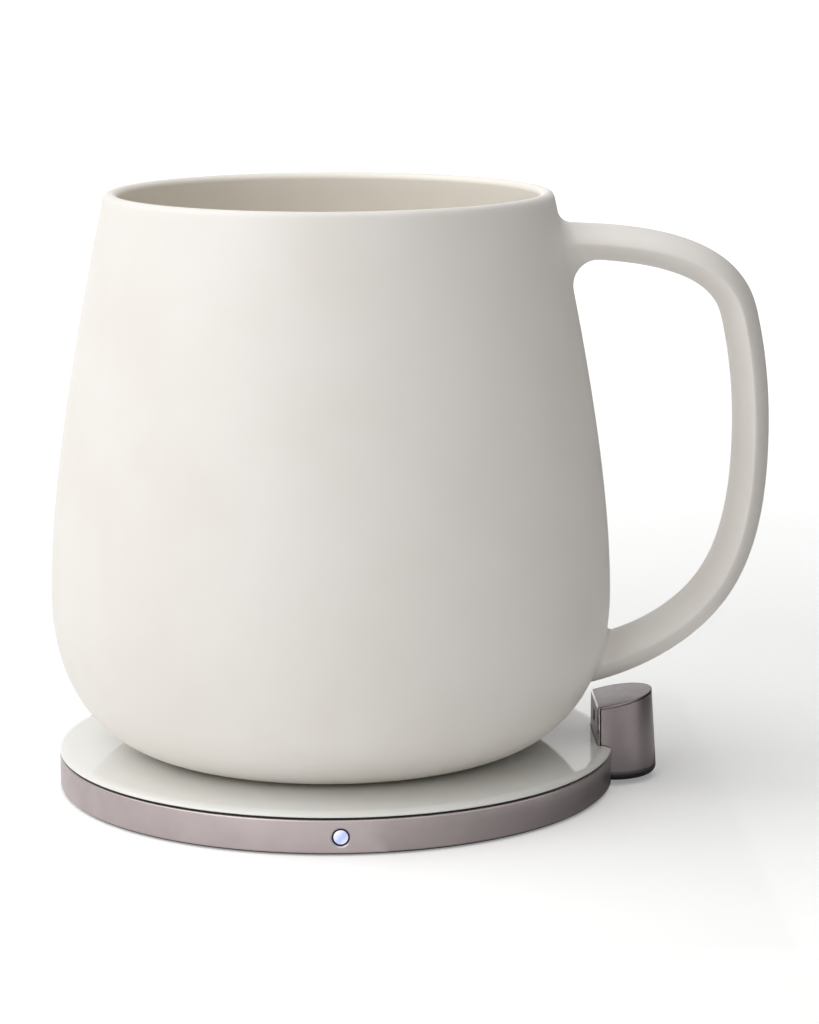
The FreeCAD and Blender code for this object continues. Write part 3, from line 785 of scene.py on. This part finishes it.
def block_skin(pad):
    """The block's outside, with a shadow groove round its curved side under the top and beside the flat."""
    groove = pad.groove / MM
    corner = pad.block_corner / MM
    side = 31.5         # length of the curved side
    sharp = 0.02        # width of the groove's flanks
    depth = 0.35        # depth of the groove
    start = 0.04        # from the corner round to the groove
    end = start + groove
    edges = np.array([0, start, start + sharp, end - sharp, end]) / side
    middle = np.linspace(end / side, 1 - end / side, 72)[1:-1]
    round_side = np.concatenate([edges, middle, 1 - edges[:0:-1]])
    place = np.concatenate([round_side, 1 + np.arange(8) / 8, 2 + np.arange(6) / 6, 3 + np.arange(8) / 8])
    curved = place < 1
    inner = curved & (place > (start + sharp / 2) / side) & (place < 1 - (start + sharp / 2) / side)
    upright = inner & ((place < (end - sharp / 2) / side) | (place > 1 - (end - sharp / 2) / side))
    lip = np.where(curved, 0.14, 0.35)      # radius of the round at the top's edge
    under = 0.16                            # from the top down to the groove
    low = housing_low.z
    # Each row has its inset, its share of the height, its drop from the top, and where it is sunk.
    rows = [(0.08, 0.0, 0.5, upright), (0.0, 0.007, 0.5, upright)]
    rows += [(0.0, k / 9, under + groove + 0.04, upright) for k in range(1, 9)]
    rows += [(0.0, 1.0, under + groove + sharp, upright), (0.0, 1.0, under + groove, inner),
             (0.0, 1.0, np.where(curved, under + sharp, 0.4), inner),
             (0.0, 1.0, np.where(curved, under, 0.38), None)]
    rows += [(lip * (1 - math.cos(a)), 1.0, lip * (1 - math.sin(a)), None)
             for a in np.linspace(0, math.pi / 2, 7)]
    grid = Grid()
    rings = []
    for inset, share, drop, sunk in rows:
        points = block_row(place, inset, corner, low, share, drop)
        if sunk is not None:
            deep = block_row(place, inset + depth, corner, low, share, drop)
            points = np.where(sunk[:, None], deep, points)
        rings.append(grid.ring(points))
    for one, other in zip(rings, rings[1:]):
        grid.band(one, other)
    grid.faces += [rings[0][::-1], rings[-1]]
    return make_mesh("block_shell", grid.points, grid.faces)


class MUGWARMER_OT_block(bpy.types.Operator):
    """Build the sensor block's shell with its groove, window opening and power opening"""

    bl_idname = "mugwarmer.block"
    bl_label = "Sensor block"

    def execute(self, context):
        pad = context.scene.warmer_pad
        piece = block_skin(pad)
        cut(piece, block_room())
        wide = (window_high.y - window_low.y) / 2
        window = [(BLOCK_FLAT_MM - 1, -wide), (BLOCK_FLAT_MM + 2, -wide), (BLOCK_FLAT_MM + 2, wide),
                  (BLOCK_FLAT_MM - 1, wide)]
        cut(piece, prism("window", window, window_low.z, window_high.z))
        half = (inlet_high.x - inlet_low.x) / 2 + 0.05
        tall = (inlet_high.z - inlet_low.z) / 2 + 0.05 - half
        middle_x, middle_z = (inlet_low.x + inlet_high.x) / 2, (inlet_low.z + inlet_high.z) / 2
        turns = [math.pi * k / 24 for k in range(25)]
        slot = [(middle_x + half * math.cos(a), middle_z + tall + half * math.sin(a)) for a in turns]
        slot += [(middle_x - half * math.cos(a), middle_z - tall - half * math.sin(a)) for a in turns]
        mouth = prism("mouth", slot, -12, -inlet_high.y / 2)
        mouth.data.transform(Matrix.Rotation(math.pi / 2, 4, "X"))
        cut(piece, mouth)
        smooth(piece, 28)
        # Painted shade: the block gets a darker copy of the ring's anodised taupe.
        place_piece(piece, PAD, "block_metal", anodised("anodised_taupe_shaded", pad.block_metal, "#82797A"),
                    "block_housing")
        # Painted highlight: faces near the flat that turn towards the key light on the left get the bright
        # metal.
        near = BLOCK_FLAT_MM + pad.block_corner / MM + 0.1

        def bevel(middle, normal):
            return middle.x < near and -0.97 < normal.x < -0.42

        finish_faces(piece, plain_metal("bevel_painted_highlight", pad.bevel, "#D5D0CE", 0.25), bevel)
        return {"FINISHED"}


class MUGWARMER_OT_plate(bpy.types.Operator):
    """Build the polished top plate with its rounded border"""

    bl_idname = "mugwarmer.plate"
    bl_label = "Top plate"

    def execute(self, context):
        pad = context.scene.warmer_pad
        radius, top, low = pad.radius / MM, plate_high.z, plate_low.z
        width, height = pad.edge_width / MM, pad.edge_height / MM
        band = top - height
        lip_low = gasket_high.z + 0.06
        neck = 46.85        # radius of the part that sits inside the ring
        outline = [(0, top), (radius - width - 12, top)]
        outline += list(quarter((radius - width, top), (radius, top), (radius, band), 24))
        outline += [(radius, band), (radius, lip_low + 0.06), (radius - 0.06, lip_low), (neck, lip_low),
                    (neck, low), (0, low)]
        piece = lathe("plate_face", outline, 512)
        cut(piece, block_cutter(low - 1, top + 1))
        smooth(piece, 28)
        place_piece(piece, PAD, "plate_white", polished_white(pad), "top_plate")
        return {"FINISHED"}


class MUGWARMER_OT_ring(bpy.types.Operator):
    """Build the anodised side ring with its rounded edges and the hole for the lamp"""

    bl_idname = "mugwarmer.ring"
    bl_label = "Side ring"

    def execute(self, context):
        pad = context.scene.warmer_pad
        radius, low, high = pad.radius / MM, ring_low.z, ring_high.z
        chamfer = pad.chamfer / MM
        inner, ledge = 47.0, 44.6
        ledge_low, ledge_high = 4.3, 5.1
        skirt = cover_high.x + 0.06
        hem = low - 0.35
        outline = [(inner, low), (skirt, low), (skirt, hem), (radius - chamfer, hem)]
        outline += list(quarter((radius - chamfer, hem), (radius, hem), (radius, hem + chamfer), 5))[1:]
        outline += [(radius, hem + chamfer)]
        outline += list(quarter((radius, high - chamfer), (radius, high), (radius - chamfer, high), 5))
        outline += [(radius - chamfer, high), (inner, high), (inner, ledge_high), (ledge, ledge_high),
                    (ledge, ledge_low), (inner, ledge_low)]
        piece = lathe("side_band", outline, 512)
        cut(piece, block_cutter(hem - 1, high + 1))
        # The hole starts before the ring's front, which its chamfer meets.
        before, hole_radius, mouth_radius, deep = 4, 1.5, 1.72, 10
        hole = lathe("hole", [(0, 0), (mouth_radius + before, 0), (mouth_radius, before),
                              (hole_radius, before + mouth_radius - hole_radius), (hole_radius, deep),
                              (0, deep)], 96)
        place = Matrix.Translation((0, -(radius + before) * MM, LAMP_Z_MM * MM))
        hole.matrix_world = place @ Matrix.Rotation(-math.pi / 2, 4, "X")
        cut(piece, hole)
        smooth(piece, 30)
        place_piece(piece, PAD, "ring_metal", anodised("anodised_taupe", pad.metal, "#A59A9B"), "side_ring")
        return {"FINISHED"}


class MUGWARMER_OT_lamp(bpy.types.Operator):
    """Build the indicator lamp: a thin bezel round a domed, lit lens"""

    bl_idname = "mugwarmer.lamp"
    bl_label = "Indicator lamp"

    def execute(self, context):
        pad = context.scene.warmer_pad
        front = pad.radius / MM
        place = Matrix.Translation((0, -front * MM, LAMP_Z_MM * MM))
        upright = place @ Matrix.Rotation(math.pi / 2, 4, "X")
        bore, outside, back = LENS_MM + 0.01, 1.47, -2.6
        sleeve = [(bore, back), (outside, back), (outside, -0.27), (1.43, -0.22), (1.28, -0.26),
                  (bore, -0.32)]
        bezel = lathe("lamp_rim", sleeve, 128)
        bezel.data.transform(upright)
        smooth(bezel, 35)
        metal = plain_metal("turned_dark", "#34323B", "#26252C", 0.35)
        place_piece(bezel, PAD, "bezel_metal", metal, "lamp_bezel")
        rear, edge, rise = -3.2, -0.34, 0.24
        turns = np.linspace(math.pi / 2, 0, 14)
        dome = [(LENS_MM * math.sin(a), edge + rise * math.cos(a)) for a in turns[:-1]]
        lens = lathe("lamp_light", [(0, rear), (LENS_MM, rear)] + dome + [(0, edge + rise)], 128)
        lens.data.transform(upright)
        smooth(lens, 60)
        place_piece(lens, PAD, "lens_clear", lit_lens(pad), "lamp_lens")
        return {"FINISHED"}


INNER_FINISHES = (
    ("gasket_black", "#141313", "#0E0D0D", 0.75, 0.3, 0.01, ("plate_gasket", "plate_adhesive")),
    ("cover_grey", "#454143", "#3B3839", 0.5, 0.25, 0.01, ("base_cover",)),
    ("mat_rubber", "#2B2A2A", "#222121", 0.75, 0.5, 0.03, ("foot_mat",)),
    ("tray_plastic", "#BDBBB4", "#B0AEA6", 0.5, 0.3, 0.01, ("coil_tray",)),
    ("ferrite_dark", "#3B3B40", "#2E2E33", 0.6, 0.15, 0.01, ("ferrite_disc", "board_inductors")),
    ("fibre_pad", "#D8D3C4", "#C7C1AF", 0.9, 0.4, 0.05, ("insulation_pad",)),
    ("dipped_bead", "#2A2A2A", "#1E1E1E", 0.25, 0.5, 0.01, ("thermistor",)),
    ("green_board", "#1F6A3D", "#185A32", 0.35, 0.6, 0.01, ("main_board", "sensor_board")),
    ("chip_black", "#232323", "#191919", 0.6, 0.1, 0.005, ("board_chips", "mug_sensor")),
    ("capacitor_tan", "#A9845F", "#957150", 0.5, 0.15, 0.005, ("board_capacitors",)),
    ("ivory_socket", "#E0DBCB", "#D3CDBB", 0.45, 0.3, 0.005, ("cable_socket",)),
    ("diode_body", "#F1F3FA", "#E1E5F2", 0.3, 0.4, 0.005, ("lamp",)),
    ("smoked_pane", "#1C1A1A", "#131212", 0.1, 1.5, 0.001, ("sensor_window",)),
    ("black_tongue", "#1B1B1B", "#131313", 0.5, 0.2, 0.005, ("inlet_tongue",)),
    ("white_film", "#E6E4DE", "#D9D6CE", 0.4, 0.5, 0.005, ("link_cable",)),
    ("silicone_disc", "#D9D5CD", "#CFCAC0", 0.6, 0.4, 0.01, ("mug_base_disc",)),
)

INNER_METALS = (
    ("plated_steel", "#C9C9C9", "#B3B3B5", 0.3,
     ("cover_screws", "board_screws", "block_screws", "inlet_socket")),
    ("coil_copper", "#D08A5B", "#B8734A", 0.35, ("induction_coil",)),
    ("steel_foil", "#BDBBB8", "#ABA9A6", 0.35, ("mug_heater",)),
)


class MUGWARMER_OT_inner(bpy.types.Operator):
    """Give the pieces that keep their construction shape their finishes"""

    bl_idname = "mugwarmer.inner"
    bl_label = "Inner pieces"

    def execute(self, context):
        pad = context.scene.warmer_pad
        for name, light, dark, rough, size, depth, nodes in INNER_FINISHES:
            material = moulded(name, light, dark, rough, size, depth)
            for node in nodes:
                dress(node, material)
        for name, light, dark, rough, nodes in INNER_METALS:
            material = plain_metal(name, light, dark, rough)
            for node in nodes:
                dress(node, material)
        # Painted shade: the cap gets a darker copy of the anodised metal.
        dress("block_cap", anodised("anodised_cap_shaded", pad.cap_metal, "#656264"))
        return {"FINISHED"}


def softbox(name, azimuth, elevation, distance, size, power):
    """A square softbox that faces the object from a direction in degrees, at a distance in metres."""
    lamp = bpy.data.lights.new(name, "AREA")
    lamp.shape = "SQUARE"
    lamp.size = size
    lamp.energy = power
    made = bpy.data.objects.new(name, lamp)
    turn, rise = math.radians(azimuth), math.radians(elevation)
    way = Vector((math.cos(turn) * math.cos(rise), math.sin(turn) * math.cos(rise), math.sin(rise)))
    middle = Vector((0, 0, 0.05))
    made.location = middle + way * distance
    made.rotation_euler = way.to_track_quat("Z", "Y").to_euler()
    bpy.context.scene.collection.objects.link(made)


# Softboxes beside the key light: name, azimuth, elevation, distance, size, and share of the key's power.
SOFTBOXES = (
    ("near_left", -131, 24, 1.0, 0.8, 0.82),
    ("front", -88, 18, 1.2, 0.8, 0.18),
    ("top", -90, 88, 1.0, 1.0, 0.9),
)

# Place of the camera, and its angles in degrees.
CAMERA_MM = (-6.94, -567.71, 156.12)
CAMERA_PITCH = 10.77
CAMERA_YAW = 2.022
CAMERA_ROLL = -0.1153


def make_camera(stage):
    """The camera at the photograph's place and angle."""
    data = bpy.data.cameras.new("camera")
    data.lens = stage.lens
    data.sensor_width = 36
    data.clip_start = 0.01
    data.clip_end = 50
    made = bpy.data.objects.new("camera", data)
    pitch, yaw, roll = (math.radians(a) for a in (CAMERA_PITCH, CAMERA_YAW, CAMERA_ROLL))
    forward = Vector((math.sin(yaw) * math.cos(pitch), math.cos(yaw) * math.cos(pitch), -math.sin(pitch)))
    right = Vector((math.cos(yaw), -math.sin(yaw), 0))
    up = right.cross(forward)
    level_right = math.cos(roll) * right + math.sin(roll) * up
    level_up = -math.sin(roll) * right + math.cos(roll) * up
    made.matrix_world = Matrix.Translation(Vector(CAMERA_MM) * MM) @ Matrix(
        (level_right, level_up, -forward)).transposed().to_4x4()
    bpy.context.scene.collection.objects.link(made)
    bpy.context.scene.camera = made


def rays_of(tree, *kinds):
    """1 on rays of the given kinds, and 0 on all others."""
    rays = add(tree, "LightPath").outputs
    share = rays[kinds[0]]
    for kind in kinds[1:]:
        share = maths(tree, "MAXIMUM", share, rays[kind])
    return share


def white_room(stage):
    """A plain room: white where it is seen or mirrored, and a weaker fill as light."""
    world = bpy.data.worlds.new("room")
    bpy.context.scene.world = world
    world.use_nodes = True
    tree = world.node_tree
    seen = rays_of(tree, "Is Camera Ray", "Is Glossy Ray", "Is Transmission Ray")
    strength = add(tree, "Mix", {"Factor": seen, "A": stage.fill, "B": 1.0})
    tree.links.new(strength.outputs["Result"], tree.nodes["Background"].inputs["Strength"])
    tree.nodes["Background"].inputs["Color"].default_value = (1, 1, 1, 1)


def pale_floor(stage):
    """The floor: matte white that keeps the shadow, lifted to plain white where it is seen.
    The lift grows away from the object, where the softboxes no longer reach."""
    material, tree, surface, place = begin("pale_floor", Roughness=0.9)
    mottle(tree, surface, place, 400, "#F7F7F6", "#F4F4F3")
    distance = add(tree, "VectorMath", {0: place}, operation="LENGTH").outputs["Value"]
    reach = span(tree, distance, 0.15, 0.9, stage.floor_lift, 1.0)
    seen = rays_of(tree, "Is Camera Ray", "Is Glossy Ray")
    tree.links.new(maths(tree, "MULTIPLY", seen, reach), surface.inputs["Emission Strength"])
    surface.inputs["Emission Color"].default_value = (1, 1, 1, 1)
    return material


def card(name, points, faces, material):
    """A card out of sight, which only mirror reflections meet."""
    made = make_mesh(name, points, faces)
    made.data.materials.append(material)
    made.visible_camera = False
    made.visible_diffuse = False
    made.visible_shadow = False


def grey_cards():
    """Two grey cards on the right, seen only in mirror reflections: painted shade on the dark side that the
    metal mirrors. One stands, and one lies on the floor and darkens away from the lamp as painted floor
    shadow, so that the ring falls off softly to its right end."""
    near, far, high = -20, 260, 120
    # Painted shade: the standing card's grey, which only mirror reflections meet.
    card("card", [(100, near, 0), (100, far, 0), (100, far, high), (100, near, high)], [[0, 1, 2, 3]],
         moulded("card_painted_shade", "#7A7A7A", "#727272", 0.9, 2.0, 0.05))
    left, right, front, back, over = 8, 68, -100, 60, 0.1
    material, tree, surface, place = begin("card_painted_shadow", Roughness=0.9)
    shade = mottle(tree, surface, place, 40, "#F2F2F2", "#ECECEC")
    across = add(tree, "SeparateXYZ", {"Vector": place}).outputs["X"]
    # Painted shadow: the lying card darkens from 14 mm to 60 mm to the right, standing for the floor's
    # shadow beside the pad.
    share = span(tree, across, 14 * MM, 60 * MM)
    tree.links.new(mix(tree, share, shade, linear("#646464")), surface.inputs["Base Color"])
    card("floor_card", [(left, front, over), (right, front, over), (right, back, over), (left, back, over)],
         [[0, 1, 2, 3]], material)


class MUGWARMER_OT_stage(bpy.types.Operator):
    """Set the floor, the light and the camera"""

    bl_idname = "mugwarmer.stage"
    bl_label = "Stage"

    def execute(self, context):
        stage = context.scene.warmer_stage
        floor = lathe("floor", [(0, 0), (6000, 0), (6000, -10), (0, -10)], 96)
        smooth(floor)
        floor.data.materials.append(pale_floor(stage))
        grey_cards()
        softbox("key", 178, 50, 1.0, 0.8, stage.key_power)
        for name, azimuth, elevation, distance, size, share in SOFTBOXES:
            softbox(name, azimuth, elevation, distance, size, share * stage.key_power)
        white_room(stage)
        make_camera(stage)
        context.scene.view_settings.view_transform = "Standard"
        return {"FINISHED"}


OPERATORS = (MUGWARMER_OT_mug, MUGWARMER_OT_plate, MUGWARMER_OT_ring, MUGWARMER_OT_block,
             MUGWARMER_OT_lamp, MUGWARMER_OT_inner, MUGWARMER_OT_stage)


class MUGWARMER_PT_panel(bpy.types.Panel):
    """Lists the pieces in the order in which they are built"""

    bl_idname = "MUGWARMER_PT_panel"
    bl_label = "Mug Warmer"
    bl_space_type = "VIEW_3D"
    bl_region_type = "UI"
    bl_category = "Mug Warmer"

    def draw(self, context):
        for operator in OPERATORS:
            self.layout.operator(operator.bl_idname)


CLASSES = (MugProperties, PadProperties, StageProperties) + OPERATORS + (MUGWARMER_PT_panel,)


def register():
    for each in CLASSES:
        bpy.utils.register_class(each)
    bpy.types.Scene.warmer_mug = bpy.props.PointerProperty(type=MugProperties)
    bpy.types.Scene.warmer_pad = bpy.props.PointerProperty(type=PadProperties)
    bpy.types.Scene.warmer_stage = bpy.props.PointerProperty(type=StageProperties)


def unregister():
    del bpy.types.Scene.warmer_stage
    del bpy.types.Scene.warmer_pad
    del bpy.types.Scene.warmer_mug
    for each in reversed(CLASSES):
        bpy.utils.unregister_class(each)


def main():
    register()
    for operator in OPERATORS:
        group, name = operator.bl_idname.split(".")
        getattr(getattr(bpy.ops, group), name)()


if __name__ == "__main__":
    main()
